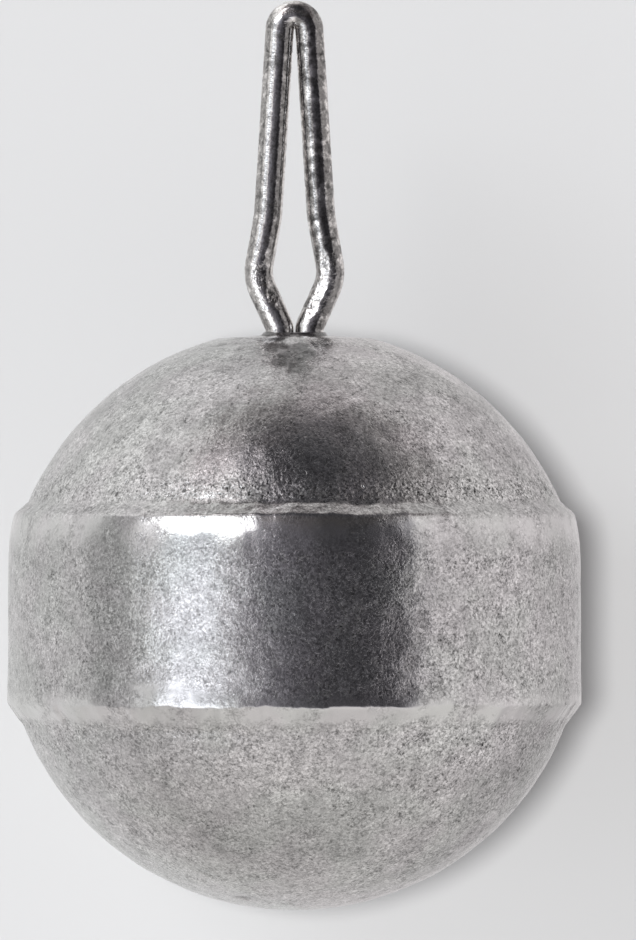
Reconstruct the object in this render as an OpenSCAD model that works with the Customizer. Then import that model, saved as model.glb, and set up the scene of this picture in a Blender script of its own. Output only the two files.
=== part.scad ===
// Round fishing sinker: a lead ball with a plain band round its waist, and a spring wire line clip
// whose two legs are cast into the ball.
//
// The origin is the centre of the clip's top bend, where the line jams. +Z runs up the sinker's
// axis, and the clip lies in the XZ plane. All sizes are in millimetres.

/* [Ball] */
// Diameter of the ball's two domes
ball_d = 15.4; // [13:0.1:20]
// Depth of the flat on the crown, where the pouring gate was cut off
crown_cut = 0.1; // [0.02:0.01:0.3]

/* [Band] */
// How far the band's wall lies inside the ball's diameter, on each side
band_inset = 0.1; // [0:0.05:0.3]
// Height of the band between its upper and lower ledges
band_h = 5.8; // [4:0.1:7]
// How far the band's middle lies above the ball's centre
band_rise = 0.25; // [0:0.05:0.6]
// Radius of the band's upper shoulder
shoulder_r = 0.55; // [0.2:0.05:0.8]
// Width of the bevel round the band's lower edge
bevel_w = 0.3; // [0.1:0.05:0.5]
// Height of the bevel round the band's lower edge
bevel_h = 0.46; // [0.2:0.02:0.8]

/* [Mouth] */
// Width of the shallow dish in the crown, round the clip's legs
mouth_w = 2; // [1.7:0.1:2.6]
// Depth of the dish below its own rim
mouth_depth = 0.12; // [0.05:0.01:0.2]

/* [Line clip] */
// Diameter of the wire
wire_d = 0.76; // [0.6:0.01:0.95]
// Height of the clip's top above the ball
clip_h = 8.64; // [7:0.02:12]
// Clear gap between the legs in the top bend, where the line jams
pinch_gap = 0.02; // [0.02:0.01:0.2]
// Height of the knee, where the legs start to widen into the eye, above the ball
knee_h = 2.94; // [2.4:0.02:4]
// Clear gap between the legs at the knee
knee_gap = 0.64; // [0.3:0.02:0.9]
// Height of the eye's widest point above the ball
eye_h = 1.33; // [1:0.01:1.9]
// Clear gap between the legs at the eye's widest point, measured to its sharp corners
eye_gap = 1.22; // [0.95:0.01:1.6]
// Clear gap between the legs where they enter the lead, measured to their sharp corners
neck_gap = 0.03; // [0.03:0.01:0.2]
// Depth of the neck's sharp corners below the ball's top
neck_depth = 0.03; // [0:0.01:0.3]

/* [Bend radii] */
// Centre-line radius of the gentle bend at the knee
knee_r = 3; // [1:0.1:5]
// Centre-line radius of the elbow at the eye's widest point
elbow_r = 1.2; // [0.7:0.05:1.6]
// Centre-line radius of the bend at the neck
neck_r = 0.6; // [0.5:0.05:0.9]
// Centre-line radius of the bend between each leg and its foot
foot_r = 0.7; // [0.6:0.05:1]

/* [Anchor in the lead] */
// Depth of the feet below the ball's top
anchor_depth = 4.4; // [3.5:0.1:6]
// Clear gap between the legs at the feet
anchor_gap = 0.9; // [0.6:0.05:1.4]
// Length of each foot, turned outward
foot_l = 1.6; // [1.3:0.1:2.5]
// Clear gap between the wire and the lead round it
cast_gap = 0.01; // [0.005:0.001:0.014]

/* [Hidden] */
$fn = 96;

lead_color = "#a5a5a7";
wire_color = "#75716d";

// The wire swells a few thousandths of a millimetre as it is bent. Each straight laps into the
// swollen bend, so that the two share a length and not just a face.
bend_swell = 0.006;
bend_lap = 0.02;

ball_r = ball_d / 2;
top_bend_r = (wire_d + pinch_gap) / 2;
ball_top = top_bend_r + (wire_d + bend_swell) / 2 - clip_h;
ball_centre = ball_top - ball_r;

// The band, as radii from the axis and heights above the ball's centre.
band_r = ball_r - band_inset;
band_top = band_rise + band_h / 2;
band_bottom = band_rise - band_h / 2;

// The mouth is a shallow bowl: part of a sphere through the dish's rim and its lowest point.
crown = ball_top - crown_cut;
bowl_r = (pow(mouth_w / 2, 2) + pow(mouth_depth, 2)) / (2 * mouth_depth);

// Centre line of the clip's right leg, as [x, z] points at its sharp corners. It leaves the top
// bend along a tangent, so its first point is where that tangent touches the bend.
function leg_x(gap) = (gap + wire_d) / 2;
knee = [leg_x(knee_gap), ball_top + knee_h];
tangent_angle = atan2(knee[1], knee[0]) + acos(top_bend_r / norm(knee));
top_tangent = top_bend_r * [cos(tangent_angle), sin(tangent_angle)];
elbow = [leg_x(eye_gap), ball_top + eye_h];
neck = [leg_x(neck_gap), ball_top - neck_depth];
ankle = [leg_x(anchor_gap), ball_top - anchor_depth];
toe = ankle + [foot_l, 0];

// Direction of travel from p to q, in degrees from +X towards +Z, and the turn at corner i.
function heading(p, q) = atan2(q[1] - p[1], q[0] - p[0]);
function along(angle) = [cos(angle), sin(angle)];
function heading_in(points, i) = heading(points[i - 1], points[i]);
function heading_out(points, i) = heading(points[i], points[i + 1]);
function turn(points, i) = heading_out(points, i) - heading_in(points, i);

// How much of the straight wire a bend uses up on each side of corner i. The ends use none.
function bend_reach(points, radii, i) =
    (i == 0 || i == len(points) - 1) ? 0 : radii[i - 1] * tan(abs(turn(points, i)) / 2);

// A straight runs a little way into the bend at each of its ends. The wire's last end is free.
module straight(points, radii, i, d) {
    angle = heading_out(points, i);
    end_lap = i == len(points) - 2 ? 0 : bend_lap;
    start = points[i] + (bend_reach(points, radii, i) - bend_lap) * along(angle);
    end = points[i + 1] - (bend_reach(points, radii, i + 1) - end_lap) * along(angle);
    translate([start[0], 0, start[1]])
        rotate([0, 90 - angle, 0])
            cylinder(h = norm(end - start), d = d);
}

// An arc of wire in the XZ plane, from one angle through a positive sweep.
module arc(centre, r, from, sweep, d) {
    translate([centre[0], 0, centre[1]])
        rotate([90, 0, 0])
            rotate([0, 0, from])
                rotate_extrude(angle = sweep)
                    translate([r, 0]) circle(d = d + bend_swell);
}

module bend(points, radii, i, d) {
    bend_turn = turn(points, i);
    side = sign(bend_turn) * 90;
    start = points[i] - bend_reach(points, radii, i) * along(heading_in(points, i));
    centre = start + radii[i - 1] * along(heading_in(points, i) + side);
    from = bend_turn > 0 ? heading_in(points, i) - 90 : heading_out(points, i) + 90;
    arc(centre, radii[i - 1], from, abs(bend_turn), d);
}

// Wire of diameter d along the points, with one bend radius for each inner corner.
module bent_wire(points, radii, d) {
    for (i = [0 : len(points) - 2]) straight(points, radii, i, d);
    for (i = [1 : len(points) - 2]) bend(points, radii, i, d);
}

module both_sides() {
    children();
    mirror([1, 0, 0]) children();
}

// Ball clipped to the band's radius, so that the band's wall runs straight past the equator.
module ball() {
    rotate_extrude() intersection() {
        circle(r = ball_r);
        translate([0, -ball_r]) square([band_r, ball_d - crown_cut]);
    }
}

// Raised band: a rounded shoulder above and a narrow bevel below.
module band() {
    rotate_extrude() {
        polygon([
            [0, band_bottom],
            [band_r - bevel_w, band_bottom],
            [band_r, band_bottom + bevel_h],
            [band_r, band_top - shoulder_r],
            [band_r - shoulder_r, band_top],
            [0, band_top],
        ]);
        translate([band_r - shoulder_r, band_top - shoulder_r]) circle(r = shoulder_r);
    }
}

module mouth() {
    translate([0, 0, crown - mouth_depth + bowl_r]) sphere(r = bowl_r);
}

// Space that the cast-in part of the legs takes up in the lead.
module anchor_channel() {
    both_sides() bent_wire(
        [elbow, neck, ankle, toe + [cast_gap, 0]],
        [neck_r, foot_r],
        wire_d + 2 * cast_gap
    );
}

module lead_body() {
    color(lead_color) difference() {
        translate([0, 0, ball_centre]) {
            ball();
            band();
        }
        mouth();
        anchor_channel();
    }
}

module line_clip() {
    color(wire_color) {
        arc([0, 0], top_bend_r, tangent_angle, 180 - 2 * tangent_angle, wire_d);
        both_sides() bent_wire(
            [top_tangent, knee, elbow, neck, ankle, toe],
            [knee_r, elbow_r, neck_r, foot_r],
            wire_d
        );
    }
}

lead_body();
line_clip();
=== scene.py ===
# %% [markdown]
# # A round fishing sinker with a wire line clip
# The real object is a ball of lead, cast round the two legs of a bent spring wire. A raised band
# runs round the ball's waist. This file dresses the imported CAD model: it makes the lead casting
# and the wire again as finer meshes, gives them dull, grainy metal finishes, and lights them the
# way such a small part is lit on a white table.
#
# The CAD model is loaded first and never moved. It is the frame that every piece is placed in.

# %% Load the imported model
import math

import bpy
import numpy as np
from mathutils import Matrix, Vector, noise


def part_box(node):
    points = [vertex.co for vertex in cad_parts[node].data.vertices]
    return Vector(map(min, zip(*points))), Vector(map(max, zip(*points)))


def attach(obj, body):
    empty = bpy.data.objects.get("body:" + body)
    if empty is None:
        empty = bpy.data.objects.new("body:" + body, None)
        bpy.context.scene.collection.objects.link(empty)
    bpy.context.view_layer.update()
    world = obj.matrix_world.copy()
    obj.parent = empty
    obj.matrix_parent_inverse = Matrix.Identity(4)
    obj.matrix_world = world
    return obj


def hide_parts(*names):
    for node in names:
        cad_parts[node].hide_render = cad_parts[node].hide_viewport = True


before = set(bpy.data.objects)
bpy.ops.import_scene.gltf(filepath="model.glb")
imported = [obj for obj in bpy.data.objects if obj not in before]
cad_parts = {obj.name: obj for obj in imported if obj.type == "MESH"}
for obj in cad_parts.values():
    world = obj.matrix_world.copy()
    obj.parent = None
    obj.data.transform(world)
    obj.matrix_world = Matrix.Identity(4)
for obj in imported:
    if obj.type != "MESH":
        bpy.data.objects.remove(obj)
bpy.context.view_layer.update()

MM = 0.001
lead_low, lead_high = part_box("lead_body")
clip_low, clip_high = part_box("line_clip")
print("lead box, mm:", [round(v / MM, 2) for v in (*lead_low, *lead_high)])
print("clip box, mm:", [round(v / MM, 2) for v in (*clip_low, *clip_high)])

# %% [markdown]
# ## Helpers for building node trees
# Every material, the room's light and every generated shape here is a tree of nodes. One short
# function that adds a node and fills its sockets keeps those trees readable: a value goes into a
# socket as it is, and an output of another node is linked to it. The rest are a few words for
# what comes back often: a sum, a product, a smooth ramp and a mix.


# %% Node helpers
def add(tree, kind, inputs=None, **settings):
    """Adds a node. inputs maps a socket's name or number to a value or to another node's output."""
    node = tree.nodes.new(kind)
    for name, value in settings.items():
        setattr(node, name, value)
    for key, value in (inputs or {}).items():
        if isinstance(value, bpy.types.NodeSocket):
            tree.links.new(value, node.inputs[key])
        else:
            node.inputs[key].default_value = value
    return node


def calc(tree, operation, *values):
    """One step of arithmetic, as a Math node."""
    inputs = dict(enumerate(values))
    return add(tree, "ShaderNodeMath", inputs, operation=operation).outputs[0]


def plus(tree, *terms):
    total = terms[0]
    for term in terms[1:]:
        total = calc(tree, "ADD", total, term)
    return total


def times(tree, *factors):
    product = factors[0]
    for factor in factors[1:]:
        product = calc(tree, "MULTIPLY", product, factor)
    return product


print("helpers: add, calc, plus, times")


# %% Ramps and mixes
def ramp(tree, value, start, end, low=0.0, high=1.0):
    """Goes smoothly from low to high while value goes from start to end."""
    inputs = {"Value": value, "From Min": start, "From Max": end, "To Min": low, "To Max": high}
    node = add(tree, "ShaderNodeMapRange", inputs, interpolation_type="SMOOTHSTEP")
    return node.outputs["Result"]


def between(tree, value, start, end, soft):
    """1 between start and end, and 0 outside, with edges that are soft by that much each way."""
    rise = ramp(tree, value, start - soft, start + soft)
    fall = ramp(tree, value, end - soft, end + soft, 1.0, 0.0)
    return times(tree, rise, fall)


def blend(tree, factor, first, second):
    """Mixes two numbers."""
    inputs = {"Factor": factor, "A": first, "B": second}
    return add(tree, "ShaderNodeMix", inputs).outputs["Result"]


def blend_colour(tree, factor, first, second):
    """Mixes two colours."""
    node = add(tree, "ShaderNodeMix", data_type="RGBA")
    for socket, value in ((node.inputs[0], factor), (node.inputs[6], first), (node.inputs[7], second)):
        if isinstance(value, bpy.types.NodeSocket):
            tree.links.new(value, socket)
        else:
            socket.default_value = value
    return node.outputs[2]


def scaled(tree, vector, factor):
    """A vector or a colour times a number."""
    inputs = {0: vector, "Scale": factor}
    return add(tree, "ShaderNodeVectorMath", inputs, operation="SCALE").outputs[0]


print("helpers: ramp, between, blend, blend_colour, scaled")

# %% [markdown]
# ## The camera
# The photograph looks straight at the sinker's side from about 30 cm with a long lens, so the
# band's ledges show as nearly straight lines. Each pixel of it is 0.0264 mm on the sinker, and
# the pixel where the ball's centre lies says where the camera stands.

# %% Camera
PIXEL = 0.026412 * MM
PHOTO_WIDTH, PHOTO_HEIGHT = 636, 940
AXIS_X, BALL_CENTRE_Y = 294.5, 619.0
BALL_CENTRE = Vector((0, 0, -15.567 * MM))
CAMERA_DISTANCE = 0.30
SENSOR_WIDTH = 36

camera = bpy.data.objects.new("camera", bpy.data.cameras.new("camera"))
bpy.context.scene.collection.objects.link(camera)
camera.location = (
    (PHOTO_WIDTH / 2 - AXIS_X) * PIXEL,
    -CAMERA_DISTANCE,
    BALL_CENTRE.z + (BALL_CENTRE_Y - PHOTO_HEIGHT / 2) * PIXEL,
)
camera.rotation_euler = (math.radians(90), 0, 0)
camera.data.sensor_width = SENSOR_WIDTH
camera.data.lens = SENSOR_WIDTH * CAMERA_DISTANCE / (PHOTO_HEIGHT * PIXEL)
camera.data.clip_start = 0.01
bpy.context.scene.camera = camera
print("lens, mm:", round(camera.data.lens, 1))

# %% [markdown]
# ## The light in the room
# Bare metal has almost no colour of its own: what it shows is the room. Lamps alone would leave
# the room black, so it is drawn as a world whose brightness depends on the direction, given in
# degrees to the right of the camera as seen from the sinker, and in degrees up. Two shapes with
# soft edges are enough to draw it: a region between four edges, and a round disc.

# %% Directions in the room
scene = bpy.context.scene
scene.view_settings.view_transform = "Standard"
world = bpy.data.worlds.new("studio")
scene.world = world
world.use_nodes = True
sky = world.node_tree
sky.nodes.clear()

direction = add(sky, "ShaderNodeTexCoord").outputs["Generated"]
split = add(sky, "ShaderNodeSeparateXYZ", {0: direction}).outputs
toward_camera = times(sky, split["Y"], -1.0)
right_angle = calc(sky, "DEGREES", calc(sky, "ARCTAN2", split["X"], toward_camera))
up_angle = calc(sky, "DEGREES", calc(sky, "ARCSINE", split["Z"]))


def aim(right, up):
    """The direction that lies so many degrees to the right of the camera, and so many up."""
    right, up = math.radians(right), math.radians(up)
    flat = math.cos(up)
    return Vector((math.sin(right) * flat, -math.cos(right) * flat, math.sin(up)))


def disc(right, up, inner, outer, amount):
    """amount within inner degrees of a direction, and 0 beyond outer degrees."""
    inputs = {0: direction, 1: aim(right, up)}
    dot = add(sky, "ShaderNodeVectorMath", inputs, operation="DOT_PRODUCT").outputs["Value"]
    away = calc(sky, "DEGREES", calc(sky, "ARCCOSINE", calc(sky, "MINIMUM", dot, 1.0)))
    return ramp(sky, away, inner, outer, amount, 0.0)


def region(right, up, soft):
    """1 between two angles to the right and two angles up, with edges as soft as soft says."""
    return times(
        sky,
        between(sky, right_angle, *right, soft[0]),
        between(sky, up_angle, *up, soft[1]),
    )


print("the camera lies toward", [round(v, 3) for v in aim(0, 0)])

# %% [markdown]
# ## Where the room is dark
# In front, round the camera, there is a dark gap, which the band mirrors as its dark middle.
# Overhead lie a wide dark disc and a smaller one that deepens its middle, and a third one lies to
# the upper left. The upper dome mirrors them as its dark patch. Each is a share from 0 to 1.

# %% Dark gap and discs
gap = region(right=(-20, 48.5), up=(-20, 52), soft=(6, 9))
overhead = plus(sky, disc(12, 60, 14, 30, 0.20), disc(16, 62, 32, 44, 0.80))
upper_left = disc(-36, 71, 6, 24, 0.95)
dark_share = calc(sky, "MAXIMUM", calc(sky, "MAXIMUM", gap, overhead), upper_left)
print("nodes for the dark parts:", len(sky.nodes))

# %% [markdown]
# ## The pale walls
# The rest of the room is pale, but not evenly. Round patches are a little lighter or darker, and
# it dims straight below, so the domes change slowly in tone. The last two patches make a gleam on
# the right of the shoulder. Light spills into the gap from the left. A dark stand at the far left
# gives the band the dim stripe beside its bright one.

# %% Pale walls
PALE, DARK = 0.79, 0.058
DIMMER_BELOW = -0.16
SPILL = 0.17
STAND_LEAVES = 0.50
PATCHES = [
    # right, up, full within, gone beyond (degrees), change of brightness
    (-112, 46, 6, 42, 0.23),
    (-160, 42, 5, 20, -0.12),
    (118, 60, 4, 18, -0.16),
    (147, 28, 6, 26, -0.14),
    (150, -2, 5, 40, -0.05),
    (142, -27, 5, 44, -0.21),
    (-45, -75, 5, 30, 0.14),
    (-70, -46, 5, 34, -0.12),
    (-108, -42, 5, 40, -0.04),
    (-150, -76, 5, 28, -0.16),
    (50, 24, 3, 9, 0.34),
    (64, 23, 3, 11, 0.26),
]
light = PALE
for patch in PATCHES:
    light = plus(sky, light, disc(*patch))
light = plus(sky, light, ramp(sky, up_angle, -80, -45, DIMMER_BELOW, 0.0))
light = blend(sky, dark_share, light, DARK)
light = plus(sky, light, times(sky, ramp(sky, right_angle, -20, 16, SPILL, 0.0), gap))
stand = region(right=(-88, -71), up=(-35, 35), soft=(6, 10))
light = times(sky, light, ramp(sky, stand, 0, 1, 1.0, STAND_LEAVES))
print("patches on the walls:", len(PATCHES))

# %% [markdown]
# ## The soft box
# To the left of the camera hangs a soft box, which the band mirrors as its broad bright stripe.
# It is bright low down, dimmer above and bright again at its very top, with a narrow core along
# its left part. A wide, flat and very bright hot spot crosses it, and the shoulder mirrors that
# as a white lens.

# %% Soft box and hot spot
CORE, HOT = 0.85, 5.0
HOT_RIGHT, HOT_UP = -40.0, 24.5
HOT_HALF_WIDE, HOT_HALF_TALL = 22.5, 8.2

soft_box = region(right=(-54, -29.5), up=(-28, 62), soft=(7, 8))
level = plus(
    sky,
    ramp(sky, up_angle, -6, 5, 1.88, 0.62),
    ramp(sky, up_angle, 38, 52, 0.0, 1.35),
)
light = blend(sky, soft_box, light, level)
core = times(
    sky,
    between(sky, right_angle, -50, -43, 3),
    soft_box,
    ramp(sky, up_angle, 2, 10, 1.0, 0.3),
)
light = plus(sky, light, times(sky, core, CORE))
aside = calc(sky, "DIVIDE", calc(sky, "SUBTRACT", right_angle, HOT_RIGHT), HOT_HALF_WIDE)
above = calc(sky, "DIVIDE", calc(sky, "SUBTRACT", up_angle, HOT_UP), HOT_HALF_TALL)
oval = plus(sky, times(sky, aside, aside), times(sky, above, above))
hot_spot = ramp(sky, oval, 0.38, 1.10, 1.0, 0.0)
light = plus(sky, light, times(sky, hot_spot, HOT))
print("brightness: walls", PALE, "gap", DARK, "hot spot", HOT)

# %% [markdown]
# ## The colour of the light
# The light is almost white, but not the same white everywhere: a trace warmer to the right and
# below, bluer in the soft box and in the dark, and brownish round the rim of the patch overhead.
# These traces keep the metal from looking like grey paint. The camera itself doesn't see this
# room, but a plain pale background.

# %% Tints and background
BACKGROUND = 0.84
LEFT_TINT, RIGHT_TINT = (0.998, 1.0, 1.0, 1), (1.008, 0.982, 0.986, 1)
patch_rim = times(sky, overhead, calc(sky, "SUBTRACT", 4.0, times(sky, overhead, 4.0)))
tint = blend_colour(sky, ramp(sky, right_angle, -70, 50), LEFT_TINT, RIGHT_TINT)
for share, colour in (
    (ramp(sky, up_angle, -20, -60), (1.012, 0.995, 0.98, 1)),
    (dark_share, (1.0, 0.98, 1.10, 1)),
    (soft_box, (0.945, 0.99, 1.05, 1)),
    (patch_rim, (1.06, 0.975, 0.97, 1)),
):
    tint = blend_colour(sky, share, tint, colour)

room = add(sky, "ShaderNodeBackground", {"Color": tint, "Strength": light})
plain = add(sky, "ShaderNodeBackground", {"Color": (1, 1, 1, 1), "Strength": BACKGROUND})
path = add(sky, "ShaderNodeLightPath")
shown = add(sky, "ShaderNodeMixShader", {
    0: path.outputs["Is Camera Ray"],
    1: room.outputs[0],
    2: plain.outputs[0],
})
add(sky, "ShaderNodeOutputWorld", {"Surface": shown.outputs[0]})
print("world nodes:", len(sky.nodes))

# %% [markdown]
# ## The white surface that the sinker lies on
# The photograph looks straight down on a white surface. In this frame the sinker's axis points
# up, so that surface is a disc behind it, touching the back of the band. Its rim fades out into
# the plain background. From behind it lets everything through, so that the sinker's back can be
# looked at too. The metal mirrors the room and not this disc, which only catches the shadow.

# %% White surface
FLOOR_Y = lead_high.y + 0.01 * MM
FLOOR_RADIUS = 0.16
RIM_POINTS = 64

floor_mesh = bpy.data.meshes.new("floor")
rim = [
    (FLOOR_RADIUS * math.cos(a), FLOOR_Y, camera.location.z + FLOOR_RADIUS * math.sin(a))
    for a in np.linspace(0, 2 * math.pi, RIM_POINTS, endpoint=False)
]
floor_mesh.from_pydata(rim, [], [list(range(RIM_POINTS))])
floor = bpy.data.objects.new("floor", floor_mesh)
scene.collection.objects.link(floor)
floor.visible_glossy = False
floor.visible_diffuse = False
floor.visible_shadow = False
print("floor plane, mm:", round(FLOOR_Y / MM, 3))

# %% Matt white finish
paper = bpy.data.materials.new("white_surface")
paper.use_nodes = True
nodes = paper.node_tree
nodes.nodes.clear()
place = add(nodes, "ShaderNodeTexCoord").outputs["Object"]
from_middle = add(nodes, "ShaderNodeVectorMath", {0: place, 1: (0, FLOOR_Y, camera.location.z)},
                  operation="DISTANCE").outputs["Value"]
see_through = ramp(nodes, from_middle, 0.5 * FLOOR_RADIUS, 0.98 * FLOOR_RADIUS)
back_side = add(nodes, "ShaderNodeNewGeometry").outputs["Backfacing"]
see_through = calc(nodes, "MAXIMUM", see_through, back_side)
matt = add(nodes, "ShaderNodeBsdfDiffuse", {"Color": (0.60, 0.60, 0.60, 1)})
clear = add(nodes, "ShaderNodeBsdfTransparent")
mixed = add(nodes, "ShaderNodeMixShader", {0: see_through, 1: matt.outputs[0], 2: clear.outputs[0]})
add(nodes, "ShaderNodeOutputMaterial", {"Surface": mixed.outputs[0]})
floor_mesh.materials.append(paper)
print("white surface nodes:", len(nodes.nodes))

# %% [markdown]
# ## The lamp that draws the shadow
# The sinker's soft shadow lies to its right and a little below. A round lamp in front of it, a
# few degrees to the left, draws it on the disc. The metal doesn't mirror that lamp, because its
# glossy visibility is off.

# %% Lamp
LAMP_DISTANCE = 0.6
lamp = bpy.data.objects.new("table_lamp", bpy.data.lights.new("table_lamp", "AREA"))
scene.collection.objects.link(lamp)
lamp_way = aim(-4, 1)
lamp.location = BALL_CENTRE + LAMP_DISTANCE * lamp_way
lamp.rotation_euler = lamp_way.to_track_quat("Z", "Y").to_euler()
lamp.data.shape = "DISK"
lamp.data.size = 0.07
lamp.data.energy = 2.4
lamp.visible_glossy = False
print("lamp at, m:", [round(v, 3) for v in lamp.location])

# %% [markdown]
# ## Drawing a section
# The casting is round, so one section describes it. A section is a row of points, each with a
# radius and a height above the ball's centre, in millimetres. Four small functions draw all of
# it: a piece of the ball, a straight, a rounded corner and an arc that bulges outwards.


# %% Section helpers
BALL_R = 7.7


def dome_radius(height):
    return math.sqrt(BALL_R ** 2 - height ** 2)


def steps(count, start=0.0, end=1.0):
    return np.linspace(start, end, count, endpoint=False)


def dome(low, high, count):
    """Points on the ball between two heights."""
    turns = steps(count, math.asin(low / BALL_R), math.asin(high / BALL_R))
    return [(BALL_R * math.cos(t), BALL_R * math.sin(t)) for t in turns]


def straight(start, end, count):
    return [tuple(np.array(start) + s * (np.array(end) - start)) for s in steps(count)]


def round_corner(start, corner, end, count):
    """Points on a smooth curve that leaves start towards corner and reaches end from it."""
    start, corner, end = (np.array(p) for p in (start, corner, end))
    return [tuple((1 - s) ** 2 * start + 2 * s * (1 - s) * corner + s * s * end) for s in steps(count)]


def outer_arc(start, radius, low_turn, high_turn, count):
    """Points on an arc that bulges outwards, and the point where it ends. Turns are in degrees."""
    low, high = math.radians(low_turn), math.radians(high_turn)
    centre = (start[0] - radius * math.cos(low), start[1] - radius * math.sin(low))

    def at(turned):
        return (centre[0] + radius * math.cos(turned), centre[1] + radius * math.sin(turned))

    return [at(turned) for turned in steps(count, low, high)], at(high)


print("the ball's diameter, mm:", 2 * BALL_R)

# %% [markdown]
# ## The section of this casting
# From below: the lower dome, the bevel that the mould left along the band's lower edge, and the
# band's wall, a hair wider at its foot. Above its middle the wall leans in, first very slowly and
# then more, and turns over a tight edge to a sloping ledge. Then come the upper dome and the
# crown, where the metal was poured in round the wire: a flat shelf and a low stub are left there.

# %% Section points
LOWER_DOME_TOP = -2.86
BAND_R, WALL_R = 7.6, 7.583
FLARE_TOP = -1.20
SLOW_START, SLOW_R, SLOW_TURN = 0.90, 21.8, 2.5
LEAN_R, LEAN_TURN = 4.13, 15
EDGE_R, EDGE_TURN = 0.21, 50
SHELF_R = 2.0
CROWN = 7.6
STUB_R, STUB_TALL = 0.78, 0.10

foot = (dome_radius(LOWER_DOME_TOP), LOWER_DOME_TOP)
bevel_low, bevel_high = (7.27, -2.663), (7.575, -2.226)
wall_low, wall_high = (BAND_R, -2.12), (WALL_R, SLOW_START)
slow_lean, slow_end = outer_arc(wall_high, SLOW_R, 0, SLOW_TURN, 7)
lean, lean_end = outer_arc(slow_end, LEAN_R, SLOW_TURN, LEAN_TURN, 10)
edge, edge_end = outer_arc(lean_end, EDGE_R, LEAN_TURN, EDGE_TURN, 6)
ledge_slope = 1 / math.tan(math.radians(EDGE_TURN))
crease = next(
    (r, edge_end[1] + (edge_end[0] - r) * ledge_slope)
    for r in np.arange(edge_end[0], 6.8, -0.001)
    if dome_radius(edge_end[1] + (edge_end[0] - r) * ledge_slope) > r
)
shelf = (SHELF_R, dome_radius(SHELF_R))
stub_foot = (STUB_R + 0.08, CROWN - STUB_TALL)
stub_top = (STUB_R, CROWN - 0.01)
section = [
    *dome(-BALL_R, LOWER_DOME_TOP, 74),
    *round_corner(foot, (7.172, -2.803), bevel_low, 4),
    *straight(bevel_low, bevel_high, 7),
    *round_corner(bevel_high, (BAND_R, -2.19), wall_low, 3),
    *straight(wall_low, (WALL_R, FLARE_TOP), 8),
    *straight((WALL_R, FLARE_TOP), wall_high, 16),
    *slow_lean,
    *lean,
    *edge,
    *straight(edge_end, crease, 6),
    *dome(crease[1], shelf[1], 48),
    *straight(shelf, stub_foot, 9),
    *straight(stub_foot, stub_top, 4),
    *straight(stub_top, (0, CROWN), 7),
    (0.0, CROWN),
]
print("points along the section:", len(section))
print("ledge from radius", round(edge_end[0], 3), "to", round(crease[0], 3),
      "and height", round(edge_end[1], 3), "to", round(float(crease[1]), 3))

# %% [markdown]
# ## Growing a shape with Geometry Nodes
# Both pieces follow a rule: the casting is a section turned round an axis, and the wire is a
# circle swept along a path. Geometry Nodes state such a rule with its sizes as named inputs. The
# helpers start and end such a tree, and keep its result as a plain mesh, which the export needs.
# The others move points, store numbers on them and read noise.


# %% Geometry Nodes helpers
def new_geometry_tree(name, sizes):
    """A Geometry Nodes tree with geometry in and out, a material input and named sizes."""
    tree = bpy.data.node_groups.new(name, "GeometryNodeTree")
    tree.interface.new_socket("Geometry", in_out="INPUT", socket_type="NodeSocketGeometry")
    tree.interface.new_socket("Geometry", in_out="OUTPUT", socket_type="NodeSocketGeometry")
    tree.interface.new_socket("Material", in_out="INPUT", socket_type="NodeSocketMaterial")
    for size_name, value in sizes.items():
        kind = "NodeSocketInt" if isinstance(value, int) else "NodeSocketFloat"
        tree.interface.new_socket(size_name, in_out="INPUT", socket_type=kind).default_value = value
    return tree, tree.nodes.new("NodeGroupInput").outputs


def finish_tree(tree, geometry, material):
    """Ends a tree as the export needs it: no instances left, and the material set."""
    real = add(tree, "GeometryNodeRealizeInstances", {"Geometry": geometry})
    painted = add(tree, "GeometryNodeSetMaterial", {0: real.outputs[0], "Material": material})
    out = tree.nodes.new("NodeGroupOutput")
    tree.links.new(painted.outputs[0], out.inputs["Geometry"])


def grow(name, start_mesh, tree, sizes, material):
    """Runs a tree on a mesh and returns a plain object that holds the result."""
    seed = bpy.data.objects.new(name + "_seed", start_mesh)
    scene.collection.objects.link(seed)
    modifier = seed.modifiers.new("shape", "NODES")
    modifier.node_group = tree
    values = {**sizes, "Material": material}
    for item in tree.interface.items_tree:
        if item.in_out == "INPUT" and item.name in values:
            modifier[item.identifier] = values[item.name]
    graph = bpy.context.evaluated_depsgraph_get()
    mesh = bpy.data.meshes.new_from_object(seed.evaluated_get(graph))
    bpy.data.objects.remove(seed)
    piece = bpy.data.objects.new(name, mesh)
    scene.collection.objects.link(piece)
    mesh.shade_smooth()
    return piece


print("helpers: new_geometry_tree, finish_tree, grow")


# %% Helpers for points and noise
def move(tree, geometry, **moves):
    """Set Position, with either a new Position or an Offset."""
    inputs = {"Geometry": geometry, **{key.capitalize(): value for key, value in moves.items()}}
    return add(tree, "GeometryNodeSetPosition", inputs).outputs[0]


def keep(tree, geometry, name, value):
    """Stores a number on each point, for a later step or for the material."""
    inputs = {"Geometry": geometry, "Name": name, "Value": value}
    return add(tree, "GeometryNodeStoreNamedAttribute", inputs,
               data_type="FLOAT", domain="POINT").outputs[0]


def kept(tree, name):
    """A number that was stored on the points."""
    return add(tree, "GeometryNodeInputNamedAttribute", {"Name": name}, data_type="FLOAT").outputs[0]


def place_in_mm(tree):
    return scaled(tree, add(tree, "GeometryNodeInputPosition").outputs[0], 1 / MM)


def noise_at(tree, vector, scale, detail=2.0, rough=0.5, twist=0.0):
    """Noise that is 0 on average, between about -0.5 and 0.5."""
    inputs = {"Vector": vector, "Scale": scale, "Detail": detail, "Roughness": rough,
              "Distortion": twist}
    value = add(tree, "ShaderNodeTexNoise", inputs).outputs[0]
    return calc(tree, "SUBTRACT", value, 0.5)


print("helpers: move, keep, kept, place_in_mm, noise_at")

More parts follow.
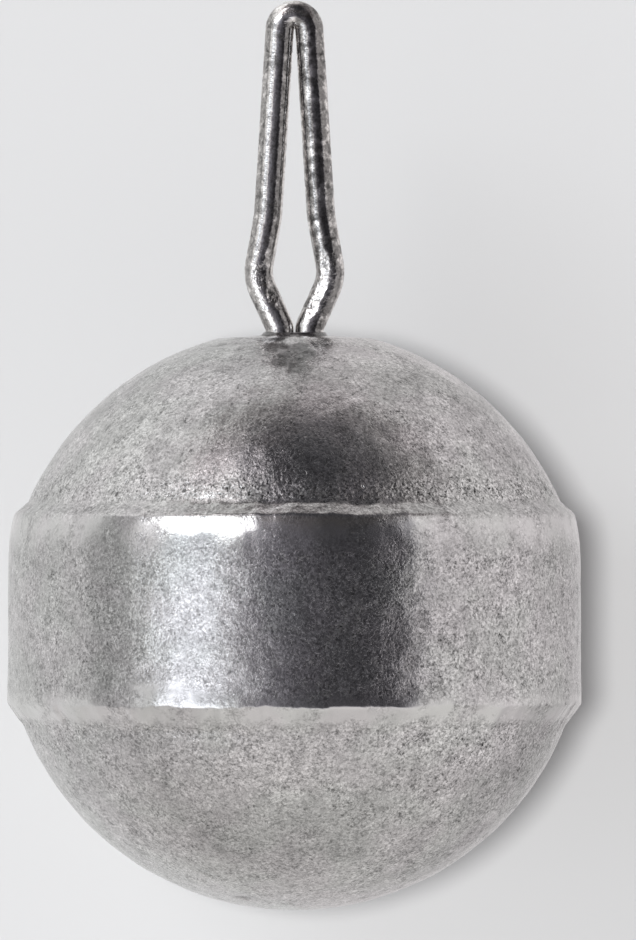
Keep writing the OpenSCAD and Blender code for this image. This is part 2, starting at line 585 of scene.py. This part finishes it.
# %% [markdown]
# ## A lathe made of nodes
# Every point of the section goes round the axis. A grid has one row of points for each point of
# the section, and one column for each step round the axis, and each grid point looks its section
# point up by number. A Screw modifier could turn a section too, but here weights stored on the
# section come along, and tell which points belong to a ledge, a dome or a rubbed edge.

# %% Lathe grid
LATHE_SIZES = {
    "Columns": 448,
    "Upper ledge wander": 0.17 * MM,
    "Lower ledge wander": 0.30 * MM,
    "Ledge crumble": 0.16 * MM,
    "Skin relief": 1.0,
}
lathe, given = new_geometry_tree("lathe_casting", LATHE_SIZES)
rows = add(lathe, "GeometryNodeAttributeDomainSize", {"Geometry": given["Geometry"]}).outputs[0]
columns = plus(lathe, given["Columns"], 1)
grid = add(lathe, "GeometryNodeMeshGrid", {"Vertices X": columns, "Vertices Y": rows})
number = add(lathe, "GeometryNodeInputIndex").outputs[0]
row = calc(lathe, "MODULO", number, rows)
column = calc(lathe, "FLOOR", calc(lathe, "DIVIDE", plus(lathe, number, 0.5), rows))
turn = times(lathe, calc(lathe, "DIVIDE", column, given["Columns"]), 2 * math.pi)
cosine, sine = calc(lathe, "COSINE", turn), calc(lathe, "SINE", turn)


def from_section(field, data_type):
    """Looks a value up on the section, for the row that a grid point is in."""
    node = add(lathe, "GeometryNodeSampleIndex", data_type=data_type, domain="POINT")
    lathe.links.new(given["Geometry"], node.inputs["Geometry"])
    lathe.links.new(field, node.inputs[1])
    lathe.links.new(row, node.inputs["Index"])
    return node.outputs[0]


def weight(name):
    return from_section(kept(lathe, name), "FLOAT")


spot = from_section(add(lathe, "GeometryNodeInputPosition").outputs[0], "FLOAT_VECTOR")
spot = add(lathe, "ShaderNodeSeparateXYZ", {0: spot}).outputs
shell = grid.outputs["Mesh"]
for name in ("rubbed", "coarse", "ledge", "dome"):
    shell = keep(lathe, shell, name, weight(name))
print("steps round the axis:", LATHE_SIZES["Columns"])

# %% [markdown]
# ## Ledges that wander
# The two ledges aren't quite level, as in a mould that was cut by hand. At each angle they stray
# up or down by a slow wave with quicker ones on top. The noise is read on a ring, so that it
# meets itself after a full turn. Then each point takes its place, and the seam and the two poles
# close when equal points are merged.

# %% Wandering ledges
ring = add(lathe, "ShaderNodeCombineXYZ", {"X": cosine, "Y": sine}).outputs[0]


def wander(weight_name, size_name, seed):
    """How far a ledge strays up or down at each angle, in metres."""
    inputs = {0: ring, 1: (0, 0, seed)}
    ring_here = add(lathe, "ShaderNodeVectorMath", inputs, operation="ADD").outputs[0]
    slow = noise_at(lathe, ring_here, 5.0, 2.0)
    quick = noise_at(lathe, ring_here, 22.0, 3.0, 0.6)
    both = plus(lathe, slow, times(lathe, quick, 0.8))
    return times(lathe, both, times(lathe, given[size_name], weight(weight_name)))


strays = plus(
    lathe,
    wander("upper_ledge", "Upper ledge wander", 3.1),
    wander("lower_ledge", "Lower ledge wander", 7.7),
)
lathed = add(lathe, "ShaderNodeCombineXYZ", {
    "X": times(lathe, spot["X"], cosine),
    "Y": times(lathe, spot["X"], sine),
    "Z": plus(lathe, spot["Z"], strays),
}).outputs[0]
shell = move(lathe, shell, position=lathed)
shell = add(lathe, "GeometryNodeMergeByDistance", {"Geometry": shell, "Distance": 1e-7}).outputs[0]
print("lathe nodes so far:", len(lathe.nodes))

# %% [markdown]
# ## The skin of a casting
# Cast lead isn't smooth. Its skin has a shallow relief, the domes have soft dents, and the ledges
# have crumbled a little. All of it is noise that only goes inwards, so the casting doesn't grow
# out of the CAD model's box. It is real relief and not a bump in the finish, because the
# highlights have to bend over it.

# %% Skin and crumbled ledges
SKIN_WAVES = [
    # noise scale per mm, depth in mm, detail
    (0.35, 0.016, 1.0),
    (1.2, 0.034, 1.0),
    (2.8, 0.016, 1.0),
]
DENTS = 0.024 * MM
DEEPEST = 0.020 * MM

in_mm = place_in_mm(lathe)
relief = 0.0
for scale, depth, detail in SKIN_WAVES:
    relief = plus(lathe, times(lathe, noise_at(lathe, in_mm, scale, detail), depth * MM), relief)
dents = times(lathe, noise_at(lathe, in_mm, 1.9, 2.0), DENTS, kept(lathe, "dome"))
relief = calc(lathe, "SUBTRACT", plus(lathe, relief, dents), DEEPEST)
relief = times(lathe, calc(lathe, "MINIMUM", relief, 0.0), given["Skin relief"])
crumble = noise_at(lathe, in_mm, 2.2, 3.0, 0.6)
crumble = times(lathe, crumble, kept(lathe, "ledge"), given["Ledge crumble"])
relief = plus(lathe, relief, calc(lathe, "MINIMUM", crumble, 0.0))
outward = add(lathe, "GeometryNodeInputNormal").outputs[0]
shell = move(lathe, shell, offset=scaled(lathe, outward, relief))
finish_tree(lathe, shell, given["Material"])
print("lathe nodes:", len(lathe.nodes))

# %% [markdown]
# ## One grain for both metals
# Neither metal is polished. Both have a fine speckle of dark oxide, and the specks gather in
# clouds. One node group serves both, with its own sizes in each: it gives the fine grain, a mask
# of darker clumps, a slow cloud, and two heights for the bump. The patterns read Object
# coordinates turned into millimetres, so they hold still on the part.


# %% Material helpers
def object_place(tree, scale):
    """Object coordinates times a scale. One over MM makes millimetres of them."""
    place = add(tree, "ShaderNodeTexCoord").outputs["Object"]
    return add(tree, "ShaderNodeMapping", {0: place, "Scale": scale}).outputs[0]


def stored(tree, name):
    """A number that the mesh holds on each point."""
    return add(tree, "ShaderNodeAttribute", attribute_name=name).outputs["Fac"]


def metal(name):
    """A material with a Principled shader in it. Returns both, and the material's node tree."""
    material = bpy.data.materials.new(name)
    material.use_nodes = True
    shader = material.node_tree.nodes["Principled BSDF"]
    shader.inputs["Metallic"].default_value = 1.0
    return material, shader, material.node_tree


print("helpers: object_place, stored, metal")


# %% Grain group
GRAIN_SIZES = {"Grain per mm": 20.0, "Clumps per mm": 6.0, "Clouds per mm": 1.4}
grain = bpy.data.node_groups.new("metal_grain", "ShaderNodeTree")
for name, value in GRAIN_SIZES.items():
    socket = grain.interface.new_socket(name, in_out="INPUT", socket_type="NodeSocketFloat")
    socket.default_value = value
for name in ("Grain", "Clumps", "Cloud", "Fine height", "Broad height"):
    grain.interface.new_socket(name, in_out="OUTPUT", socket_type="NodeSocketFloat")
asked = grain.nodes.new("NodeGroupInput").outputs
given_out = grain.nodes.new("NodeGroupOutput").inputs
spot_mm = object_place(grain, (1 / MM,) * 3)
fine = noise_at(grain, spot_mm, asked["Grain per mm"], 2.0, 0.6, 0.8)
middling = noise_at(grain, spot_mm, asked["Clumps per mm"], 3.0, 0.65, 0.5)
slow = noise_at(grain, spot_mm, asked["Clouds per mm"], 3.0, 0.6)
clumps = plus(grain, middling, times(grain, slow, 0.45))
for name, value in (
    ("Grain", plus(grain, fine, times(grain, middling, 0.35))),
    ("Clumps", ramp(grain, clumps, 0.02, -0.24)),
    ("Cloud", ramp(grain, slow, -0.2, 0.2)),
    ("Fine height", fine),
    ("Broad height", middling),
):
    grain.links.new(value, given_out[name])


def add_grain(tree, **sizes):
    """Places the group in a material, with that material's own sizes."""
    node = add(tree, "ShaderNodeGroup", node_tree=grain)
    for name, value in sizes.items():
        node.inputs[name.replace("_", " ").capitalize()].default_value = value
    return node.outputs


print("grain nodes:", len(grain.nodes))

# %% [markdown]
# ## The colour of dull cast lead
# Fresh lead is bright, but within days a grey film of oxide covers it. The film is thin and
# patchy: it leaves a fine speckle, pale and dark clouds up to a millimetre or so wide, and faint
# warm and cool tints. Under it the metal still mirrors the room softly.
#
# Numbers on the mesh say where the lead differs. "rubbed" marks the edges where the film is worn
# off, in broken patches. "coarse" marks the rough, pitted lead beside the ledges. "dome" makes
# the domes cloudier than the band. One more number darkens the marks and paints shade on the low
# lip round the stub, broken up by noise so that it has no drawn outline. The speckle is stronger to the
# right, as in the photograph.

# %% Lead colour
FILM_TONES = (0.528, 0.512, 0.515, 1), (0.514, 0.512, 0.504, 1)
BARE_GAIN = 1.30
# How dark the pits, the darker marks and the painted shade on the stub's lip become.
DARKENED_TONE = 0.35

lead, lead_shader, nodes = metal("dull_lead")
grained = add_grain(nodes, grain_per_mm=14.0, clumps_per_mm=3.4, clouds_per_mm=1.3)
where = object_place(nodes, (1 / MM,) * 3)
sideways = add(nodes, "ShaderNodeSeparateXYZ", {0: where}).outputs["X"]
coarse = stored(nodes, "coarse")
uneven = ramp(nodes, noise_at(nodes, where, 1.1, 5.0, 0.68), -0.19, 0.09)
bright = calc(nodes, "MINIMUM", times(nodes, stored(nodes, "rubbed"), uneven), 1.0)
film = calc(nodes, "SUBTRACT", 1.0, bright)

strength = times(
    nodes,
    film,
    ramp(nodes, grained["Cloud"], 0.0, 1.0, 2.9, 1.9),
    ramp(nodes, coarse, 0.0, 1.0, 1.0, 1.5),
    ramp(nodes, sideways, 0.5, 5.0, 1.0, 1.3),
)
speckle = plus(nodes, times(nodes, grained["Grain"], strength), 1.0)
clumped = plus(nodes, times(nodes, grained["Clumps"], film, -0.12), 1.0)
clouds = ramp(nodes, noise_at(nodes, where, 0.7, 4.0, 0.65), -0.16, 0.16, -1.0, 1.0)
cloudy = plus(nodes, times(nodes, stored(nodes, "dome"), 0.13), 0.05)
patchy = plus(nodes, times(nodes, clouds, cloudy), 1.0)
pits = times(nodes, ramp(nodes, noise_at(nodes, where, 4.0, 1.0), 0.20, 0.26), coarse)
broken = ramp(nodes, noise_at(nodes, where, 3.2, 3.0, 0.65), -0.14, 0.12, 1.40, 0.58)
# Pits are real; the rest is darker marks and painted shade on the low lip round the stub.
pits_marks_and_painted_lip_shade = calc(nodes, "MAXIMUM", pits, times(nodes, stored(nodes, "dark_marks_and_painted_lip_shade"), broken))
shade = times(
    nodes,
    speckle,
    clumped,
    patchy,
    ramp(nodes, bright, 0.0, 1.0, 1.0, BARE_GAIN),
    ramp(nodes, pits_marks_and_painted_lip_shade, 0.0, 1.0, 1.0, DARKENED_TONE),
)
tinted = ramp(nodes, noise_at(nodes, where, 0.6, 2.0), -0.15, 0.15)
tone = scaled(nodes, blend_colour(nodes, tinted, *FILM_TONES), shade)
nodes.links.new(tone, lead_shader.inputs["Base Color"])
print("lead colour nodes:", len(nodes.nodes))

# %% [markdown]
# ## The gloss of dull cast lead
# Some specks and clumps of the film are rougher than the rest. In a dark reflection they pick up
# light from beside it and stand out pale, so the grain goes into the roughness too. The bump is a
# few thousandths of a millimetre deep and weaker where the lead is rubbed. The coarse zones add
# lumps and pits to it.

# %% Lead gloss and bump
BUMP_DEPTH = 0.007 * MM

dull = plus(
    nodes,
    ramp(nodes, bright, 0.0, 1.0, 0.20, 0.17),
    times(nodes, coarse, 0.06),
    times(nodes, grained["Grain"], film, 0.20),
    times(nodes, grained["Clumps"], film, 0.12),
)
nodes.links.new(dull, lead_shader.inputs["Roughness"])
skin = plus(
    nodes,
    times(nodes, grained["Fine height"], film),
    times(nodes, grained["Broad height"], ramp(nodes, film, 0.0, 1.0, 0.5, 1.3)),
    times(nodes, noise_at(nodes, where, 8.0, 1.0, 0.5), coarse, 3.0),
)
skin = calc(nodes, "SUBTRACT", skin, times(nodes, pits, 2.0))
bump = add(nodes, "ShaderNodeBump", {"Height": skin, "Strength": 1.0, "Distance": BUMP_DEPTH})
nodes.links.new(bump.outputs[0], lead_shader.inputs["Normal"])
print("lead nodes:", len(nodes.nodes))

# %% [markdown]
# ## The lead casting
# The section becomes a mesh of points and edges, and the lathe tree turns it into the casting.
# Each weight on the section is one or two soft bumps along its height: the ledges that wander,
# the domes, the ledges' crumbled edges, the rubbed bevel and shoulder, and the coarse lead.

# %% Lead piece
section_mesh = bpy.data.meshes.new("section")
middle = BALL_CENTRE.z / MM
section_mesh.from_pydata(
    [(r * MM, 0, (middle + z) * MM) for r, z in section],
    [(i, i + 1) for i in range(len(section) - 1)],
    [],
)


def height_weight(name, *bumps):
    """Stores a weight on the section. Each bump is a height, its reach down and up, and a peak."""
    values = []
    for _, z in section:
        value = 0.0
        for height, down, up, peak in bumps:
            away = (z - height) / (up if z > height else down)
            value += peak * max(0.0, 1 - away * away) ** 2
        values.append(value)
    section_mesh.attributes.new(name, "FLOAT", "POINT").data.foreach_set("value", values)


height_weight("upper_ledge", (3.0, 0.5, 0.35, 1.0))
height_weight("lower_ledge", (-2.32, 0.75, 0.55, 1.0))
height_weight("dome", (5.4, 2.6, 2.6, 1.2), (-5.3, 2.8, 2.8, 0.5))
height_weight("ledge", (3.02, 0.35, 0.25, 1.0), (-2.68, 0.40, 0.36, 0.85))
height_weight("rubbed", (-2.42, 0.36, 0.75, 1.15), (2.55, 0.95, 0.40, 0.95))
height_weight("coarse", (3.26, 0.08, 0.95, 1.0), (-2.72, 1.8, 0.1, 0.35))
casting = grow("lead_casting", section_mesh, lathe, LATHE_SIZES, lead)
print("casting faces:", len(casting.data.polygons))

# %% [markdown]
# ## What stops the lamp's light
# In the photograph the casting throws a clear shadow, and the thin wire above it almost none. So
# only the casting blocks the lamp: light linking gives the lamp a list of what may shadow it.

# %% Shadow of the casting
shadow_makers = bpy.data.collections.new("shadow_makers")
shadow_makers.objects.link(casting)
lamp.light_linking.blocker_collection = shadow_makers

# %% [markdown]
# ## Knocks and the scoop
# Soft lead picks up marks. Those that show on the real sinker are pressed into the mesh one by
# one. A mark is a shallow oval hollow with a wavy outline, deeper toward its lower end, and it
# can be darker inside. The largest is the scoop under the clip, a dark wedge of several
# hollows that overlap.


# %% Shape of a hollow
def hollow(points, across, up, half_wide, half_tall, turned):
    """The way out of the ball at a spot on its front, how far each point is into an oval round
    that spot, and a lean that makes the oval's lower end deeper."""
    front = points[points[:, 1] < 0]
    centre = front[np.argmin((front[:, 0] - across) ** 2 + (front[:, 2] - up) ** 2)]
    out = centre / np.linalg.norm(centre)
    side = np.cross((0, 0, 1), out)
    side = side / np.linalg.norm(side)
    slope = np.cross(out, side)
    a = math.radians(turned)
    from_centre = points - centre
    u = from_centre @ (side * math.cos(a) + slope * math.sin(a)) / half_wide
    v = from_centre @ (slope * math.cos(a) - side * math.sin(a)) / half_tall
    around = np.arctan2(v, u)
    reach = 1 + 0.18 * np.sin(2 * around + 7 * across) + 0.14 * np.sin(5 * around + 3 * up)
    near = np.linalg.norm(from_centre, axis=1) < 2 * max(half_wide, half_tall)
    return out, np.where(near, np.clip(1 - (u * u + v * v) / reach ** 2, 0, 1), 0), 1 - 0.4 * v


coords = np.empty(len(casting.data.vertices) * 3)
casting.data.vertices.foreach_get("co", coords)
coords = coords.reshape(-1, 3) / MM - np.array((0, 0, middle))
dark_marks_and_painted_lip_shade = np.zeros(len(coords))
print("points of the casting:", len(coords))

# %% Knocks
KNOCKS = [
    # name, across, up (mm from the ball's centre), half width, half height, depth, turn (degrees), how
    # much darker inside
    ("scoop under the clip", 0.00, 6.99, 0.55, 0.88, 0.050, 0, 1.00),
    ("scoop's tip", 0.06, 6.66, 0.26, 0.46, 0.025, 0, 0.90),
    ("scoop's corner", -0.40, 7.12, 0.42, 0.45, 0.030, 30, 0.65),
    ("scoop's right side", 0.62, 7.30, 0.42, 0.40, 0.040, -20, 0.75),
    ("scoop's left side", -0.62, 7.38, 0.34, 0.35, 0.030, 15, 0.70),
    ("shelf on the right", 1.70, 7.42, 0.85, 0.50, 0.040, 6, 0.35),
    ("upper ripple on the left", -1.30, 7.38, 0.65, 0.20, 0.035, 6, 0.35),
    ("middle ripple on the left", -1.65, 7.24, 0.80, 0.22, 0.035, 8, 0.30),
    ("lower ripple on the left", -1.25, 7.08, 0.60, 0.20, 0.030, 4, 0.25),
    ("low knock", -2.28, -6.60, 0.22, 0.12, 0.040, -30, 0.55),
    ("low scrape", -1.35, -7.28, 0.36, 0.22, 0.040, 10, 0.45),
    ("low dimple", -1.25, -5.65, 0.14, 0.12, 0.025, 0, 0.35),
    ("dimple on the upper dome", 2.06, 5.95, 0.18, 0.12, 0.020, 0, 0.22),
    ("dimple by the ledge", -5.3, 3.25, 0.30, 0.12, 0.030, 0, 0.20),
    ("dent in the right side", 6.55, -2.45, 0.35, 0.25, 0.035, 30, 0.10),
]
for _, across, up, half_wide, half_tall, depth, turned, dark in KNOCKS:
    out, inside, lean_down = hollow(coords, across, up, half_wide, half_tall, turned)
    coords = coords - (inside ** 1.5 * lean_down * depth)[:, None] * out
    dark_marks_and_painted_lip_shade = np.maximum(dark_marks_and_painted_lip_shade, np.minimum(inside * 2, 1) * dark)
print("knocks pressed in:", len(KNOCKS))

# %% [markdown]
# ## A rubbed spot
# At the foot of the band, left of its middle, the film is worn off in one more place, and the
# soft box shines there. It isn't pressed in: only the "rubbed" number of its points goes up.

# %% Rubbed spot
RUBS = [
    # name, across, up (mm from the ball's centre), half width, half height, how bare
    ("foot of the band, to the left", -3.15, -1.86, 1.30, 0.42, 1.0),
]
rubbed = np.empty(len(coords))
casting.data.attributes["rubbed"].data.foreach_get("value", rubbed)
for _, across, up, half_wide, half_tall, bare in RUBS:
    _, inside, _ = hollow(coords, across, up, half_wide, half_tall, 0)
    rubbed = np.maximum(rubbed, np.minimum(inside * 1.5, 1) * bare)
casting.data.attributes["rubbed"].data.foreach_set("value", rubbed)
print("rubbed spots:", len(RUBS))

# %% [markdown]
# ## The stub of the sprue
# The stub isn't round: it was nipped off, so its outline is ragged and flatter from front to
# back. Noise moves its points out and in, less and less away from it, and painted shade darkens
# the low lip round it, where the wire enters. Then the points and their darkening go back to the mesh.

# %% Sprue stub
STUB_REACH = 1.4
round_about = np.hypot(coords[:, 0], coords[:, 1])
near_stub = (coords[:, 2] > CROWN - 0.4) & (round_about < STUB_REACH)
under_lip = (coords[:, 2] > CROWN - 0.16) & (coords[:, 2] < CROWN - 0.005) & (round_about < 1.0)
# Painted shade: the low lip round the stub, where the wire goes into the lead, is darkened.
dark_marks_and_painted_lip_shade[under_lip] = 1.0
for i in np.flatnonzero(near_stub):
    x, y, _ = coords[i]
    reach = max(0.0, 1 - (round_about[i] / STUB_REACH) ** 4)
    ragged = noise.noise(Vector((x * 2.5, y * 2.5, 4.0))) * 0.10
    coords[i, 0] = x * (1 + reach * (0.06 + ragged))
    coords[i, 1] = y * (1 + reach * (-0.22 + ragged))
casting.data.vertices.foreach_set("co", ((coords + np.array((0, 0, middle))) * MM).ravel())
casting.data.attributes.new("dark_marks_and_painted_lip_shade", "FLOAT", "POINT").data.foreach_set("value", dark_marks_and_painted_lip_shade)
casting.data.update()
print("points moved on the stub:", int(near_stub.sum()))

# %% [markdown]
# ## The centre line of the wire
# The clip is one wire, and its shape is its centre line. Each leg is a few straights with a round
# bend at each corner, as in the CAD source. Only the bend where a leg enters the lead is a little
# tighter here, to match the photograph. The line starts at the toe of one cast-in foot, runs up
# that leg, over the top bend and down the other leg, which mirrors the first.


# %% A round bend
def fillet(before, corner, after, bend_radius, spacing):
    """Points along the round bend that replaces a sharp corner."""
    before, corner, after = (np.array(p, float) for p in (before, corner, after))
    back = (before - corner) / np.linalg.norm(before - corner)
    ahead = (after - corner) / np.linalg.norm(after - corner)
    half_angle = math.acos(np.clip(back @ ahead, -1, 1)) / 2
    middle_way = (back + ahead) / np.linalg.norm(back + ahead)
    centre = corner + middle_way * bend_radius / math.sin(half_angle)
    start = corner + back * bend_radius / math.tan(half_angle)
    end = corner + ahead * bend_radius / math.tan(half_angle)
    first = math.atan2(*(start - centre)[::-1])
    swept = math.atan2(*(end - centre)[::-1]) - first
    swept = (swept + math.pi) % (2 * math.pi) - math.pi
    count = max(4, int(abs(swept) * bend_radius / spacing))
    return [
        tuple(centre + bend_radius * np.array((math.cos(a), math.sin(a))))
        for a in np.linspace(first, first + swept, count)
    ]


print("points in a square bend:", len(fillet((0, 2), (0, 0), (2, 0), 1, 0.03)))

# %% Wire path
WIRE_R = 0.38
TOP_BEND_R = 0.39
CORNERS = [(0.70, -4.927), (0.99, -6.537), (0.384, -7.880), (0.83, -12.267)]
BEND_RADII = [3.0, 1.2, 0.35, 0.7]
TOE = (2.43, -12.267)
SPACING = 0.03

knee = np.array(CORNERS[0])
tangent = math.atan2(knee[1], knee[0]) + math.acos(TOP_BEND_R / np.linalg.norm(knee))
top_touch = (TOP_BEND_R * math.cos(tangent), TOP_BEND_R * math.sin(tangent))
stops = [top_touch, *CORNERS, TOE]
right_leg = [
    (TOP_BEND_R * math.cos(a), TOP_BEND_R * math.sin(a))
    for a in np.linspace(math.pi / 2, tangent, 24)
]
for i, bend_radius in enumerate(BEND_RADII):
    right_leg += fillet(stops[i], stops[i + 1], stops[i + 2], bend_radius, SPACING)
right_leg.append(TOE)
left_leg = [(-x, z) for x, z in right_leg]
path_points = left_leg[::-1] + right_leg[1:]
length = sum(math.dist(a, b) for a, b in zip(path_points, path_points[1:]))
print("wire length, mm:", round(length, 2))

# %% [markdown]
# ## Sweeping the wire
# A tube along a path is what Geometry Nodes do well: the path becomes a curve, and a circle runs
# along it. The circle is a hair smaller than the wire, so that nothing stands out of the CAD
# model's box.

# %% Wire tube
WIRE_SIZES = {
    "Radius": WIRE_R * MM,
    "Sides": 48,
    "Ring spacing": SPACING * MM,
    "Pressed flat": 0.045 * MM,
    "Jaw ridges": 0.010 * MM,
}
sweep, given = new_geometry_tree("bent_wire", WIRE_SIZES)
line = add(sweep, "GeometryNodeMeshToCurve", {"Mesh": given["Geometry"]}).outputs[0]
line = add(sweep, "GeometryNodeResampleCurve", {"Curve": line, "Length": given["Ring spacing"]},
           mode="LENGTH").outputs[0]
outline = add(sweep, "GeometryNodeCurvePrimitiveCircle", {
    "Resolution": given["Sides"],
    "Radius": calc(sweep, "SUBTRACT", given["Radius"], 0.001 * MM),
}).outputs[0]
tube = add(sweep, "GeometryNodeCurveToMesh", {
    "Curve": line, "Profile Curve": outline, "Fill Caps": True,
}).outputs[0]
in_mm = place_in_mm(sweep)
xyz = add(sweep, "ShaderNodeSeparateXYZ", {0: in_mm}).outputs
outward = add(sweep, "GeometryNodeInputNormal").outputs[0]
print("wire nodes so far:", len(sweep.nodes))

# %% [markdown]
# ## Painted side shade and grip marks
# The sides of each leg that face right, and those that face far to the left, get painted shade,
# broken into patches, and the right leg above its elbow is darker in torn patches. How much of this
# darkening lies on a point is stored for the material. Pliers gripped the wire below and at its elbows,
# and the points there are stored as "crushed".

# %% Painted side shade and grip marks
gripped = times(
    sweep,
    between(sweep, xyz["Z"], -7.55, -5.9, 0.2),
    ramp(sweep, noise_at(sweep, in_mm, 1.6, 2.0), -0.2, 0.05),
)
patches = noise_at(sweep, in_mm, 3.5, 3.0, 0.6)
to_right = add(sweep, "ShaderNodeSeparateXYZ", {0: outward}).outputs["X"]
# Painted shade: the sides of each leg that face right, and those that face far to the left, are
# darkened in patches.
side_painted_shade = calc(
    sweep, "MAXIMUM",
    between(sweep, to_right, 0.22, 0.82, 0.12),
    ramp(sweep, to_right, -0.52, -0.72, 0.0, 0.7),
)
side_painted_shade = times(sweep, side_painted_shade, ramp(sweep, patches, -0.16, 0.02, 0.45, 1.0))
# The right leg above its elbow is darker in torn patches.
right_leg_dark_patches = times(
    sweep,
    ramp(sweep, xyz["X"], -0.1, 0.1, 0.0, 0.95),
    ramp(sweep, xyz["Z"], -6.6, -5.8),
    ramp(sweep, patches, -0.12, 0.12, 0.2, 1.0),
)
tube = keep(sweep, tube, "crushed", gripped)
tube = keep(sweep, tube, "painted_side_shade_and_dark_patches", calc(sweep, "MAXIMUM", side_painted_shade, right_leg_dark_patches))
print("stored on the wire: crushed, oiled")

# %% [markdown]
# ## What the pliers left behind
# Where the wire was gripped, two opposite sides are pressed a little flat, with a row of small
# ridges from the jaws. A point that stands out past that flat moves back to it. All along the
# wire, the drawn surface is slightly uneven too.

# %% Pressed flats and drawn surface
RIDGES_PER_MM = 6.0
GRIP_TURN = math.radians(24)
DRAWN_RELIEF, DRAWN_DEPTH = 0.012 * MM, 0.003 * MM

slanted = plus(sweep, times(sweep, xyz["X"], 0.5), xyz["Z"])
ridge = calc(sweep, "SINE", times(sweep, slanted, 2 * math.pi * RIDGES_PER_MM))
ridge = times(
    sweep,
    plus(sweep, ridge, 1.0),
    given["Jaw ridges"],
    ramp(sweep, noise_at(sweep, in_mm, 3.1, 3.0), -0.05, 0.12),
)
pressed = times(sweep, plus(sweep, given["Pressed flat"], ridge), gripped)
grip = add(sweep, "ShaderNodeCombineXYZ", {
    "X": times(sweep, calc(sweep, "SIGN", xyz["X"]), -math.sin(GRIP_TURN)),
    "Y": -math.cos(GRIP_TURN),
}).outputs[0]
facing = add(sweep, "ShaderNodeVectorMath", {0: outward, 1: grip},
             operation="DOT_PRODUCT").outputs["Value"]
stands_out = times(sweep, calc(sweep, "ABSOLUTE", facing), given["Radius"])
stands_out = plus(sweep, calc(sweep, "SUBTRACT", stands_out, given["Radius"]), pressed)
back = times(sweep, calc(sweep, "SIGN", facing), -1.0)
push = times(sweep, calc(sweep, "MAXIMUM", stands_out, 0.0), back)
tube = move(sweep, tube, offset=scaled(sweep, grip, push))
drawn = times(sweep, noise_at(sweep, in_mm, 4.0, 3.0, 0.6), DRAWN_RELIEF)
drawn = calc(sweep, "MINIMUM", calc(sweep, "SUBTRACT", drawn, DRAWN_DEPTH), 0.0)
tube = move(sweep, tube, offset=scaled(sweep, outward, drawn))
finish_tree(sweep, tube, given["Material"])
print("wire nodes:", len(sweep.nodes))

# %% [markdown]
# ## Drawn spring wire
# The wire is hard drawn steel, darkened by heat. It shines in a narrow streak that breaks
# up into beads, because its surface is pitted finely. Clumps of oxide make it darker and duller,
# painted shade on the sides of the legs and darker patches on the right leg make it darker still, and
# where the pliers gripped it the bump is stronger.

# %% Wire material
STEEL_TONE = (0.73, 0.705, 0.69)
SIDE_SHADE_AND_PATCH_TONE = 0.29
WIRE_BUMP_DEPTH = 0.017 * MM

steel, steel_shader, nodes = metal("dark_spring_wire")
grained = add_grain(nodes, grain_per_mm=12.0, clumps_per_mm=4.5, clouds_per_mm=2.0)
crushed = stored(nodes, "crushed")
shade = times(
    nodes,
    plus(nodes, times(nodes, grained["Grain"], 1.8), 1.0),
    ramp(nodes, grained["Clumps"], 0.0, 1.0, 1.18, 0.45),
    # Painted shade on the sides of the legs, and the right leg's darker patches.
    ramp(nodes, stored(nodes, "painted_side_shade_and_dark_patches"), 0.0, 1.0, 1.0, SIDE_SHADE_AND_PATCH_TONE),
)
nodes.links.new(scaled(nodes, STEEL_TONE, shade), steel_shader.inputs["Base Color"])
dull = ramp(nodes, grained["Clumps"], 0.0, 1.0, 0.12, 0.33)
dull = plus(nodes, dull, times(nodes, crushed, 0.06))
nodes.links.new(dull, steel_shader.inputs["Roughness"])
across = object_place(nodes, (4 / MM, 4 / MM, 10 / MM))
beads = times(nodes, noise_at(nodes, across, 1.0, 2.0, 0.6), 0.6)
marks = times(nodes, grained["Broad height"], ramp(nodes, crushed, 0.0, 1.0, 0.3, 3.0))
surface = plus(nodes, beads, marks)
bump = add(nodes, "ShaderNodeBump", {"Height": surface, "Strength": 1.0, "Distance": WIRE_BUMP_DEPTH})
nodes.links.new(bump.outputs[0], steel_shader.inputs["Normal"])
print("wire finish nodes:", len(nodes.nodes))

# %% [markdown]
# ## The wire itself
# The centre line becomes a mesh of points and edges, and the sweep tree turns it into the wire.
# Its two feet are hidden in the lead, where the photograph can't show them.

# %% Wire piece
path_mesh = bpy.data.meshes.new("wire_path")
path_mesh.from_pydata(
    [(x * MM, 0, z * MM) for x, z in path_points],
    [(i, i + 1) for i in range(len(path_points) - 1)],
    [],
)
wire = grow("clip_wire", path_mesh, sweep, WIRE_SIZES, steel)
print("wire faces:", len(wire.data.polygons))

# %% [markdown]
# ## Tying the pieces to the frame
# Each piece rides on the only body and replaces its CAD node.

# %% Frame ties
for piece, node_name, slot_name in (
    (casting, "lead_body", "lead"),
    (wire, "line_clip", "wire"),
):
    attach(piece, "root")
    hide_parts(node_name)
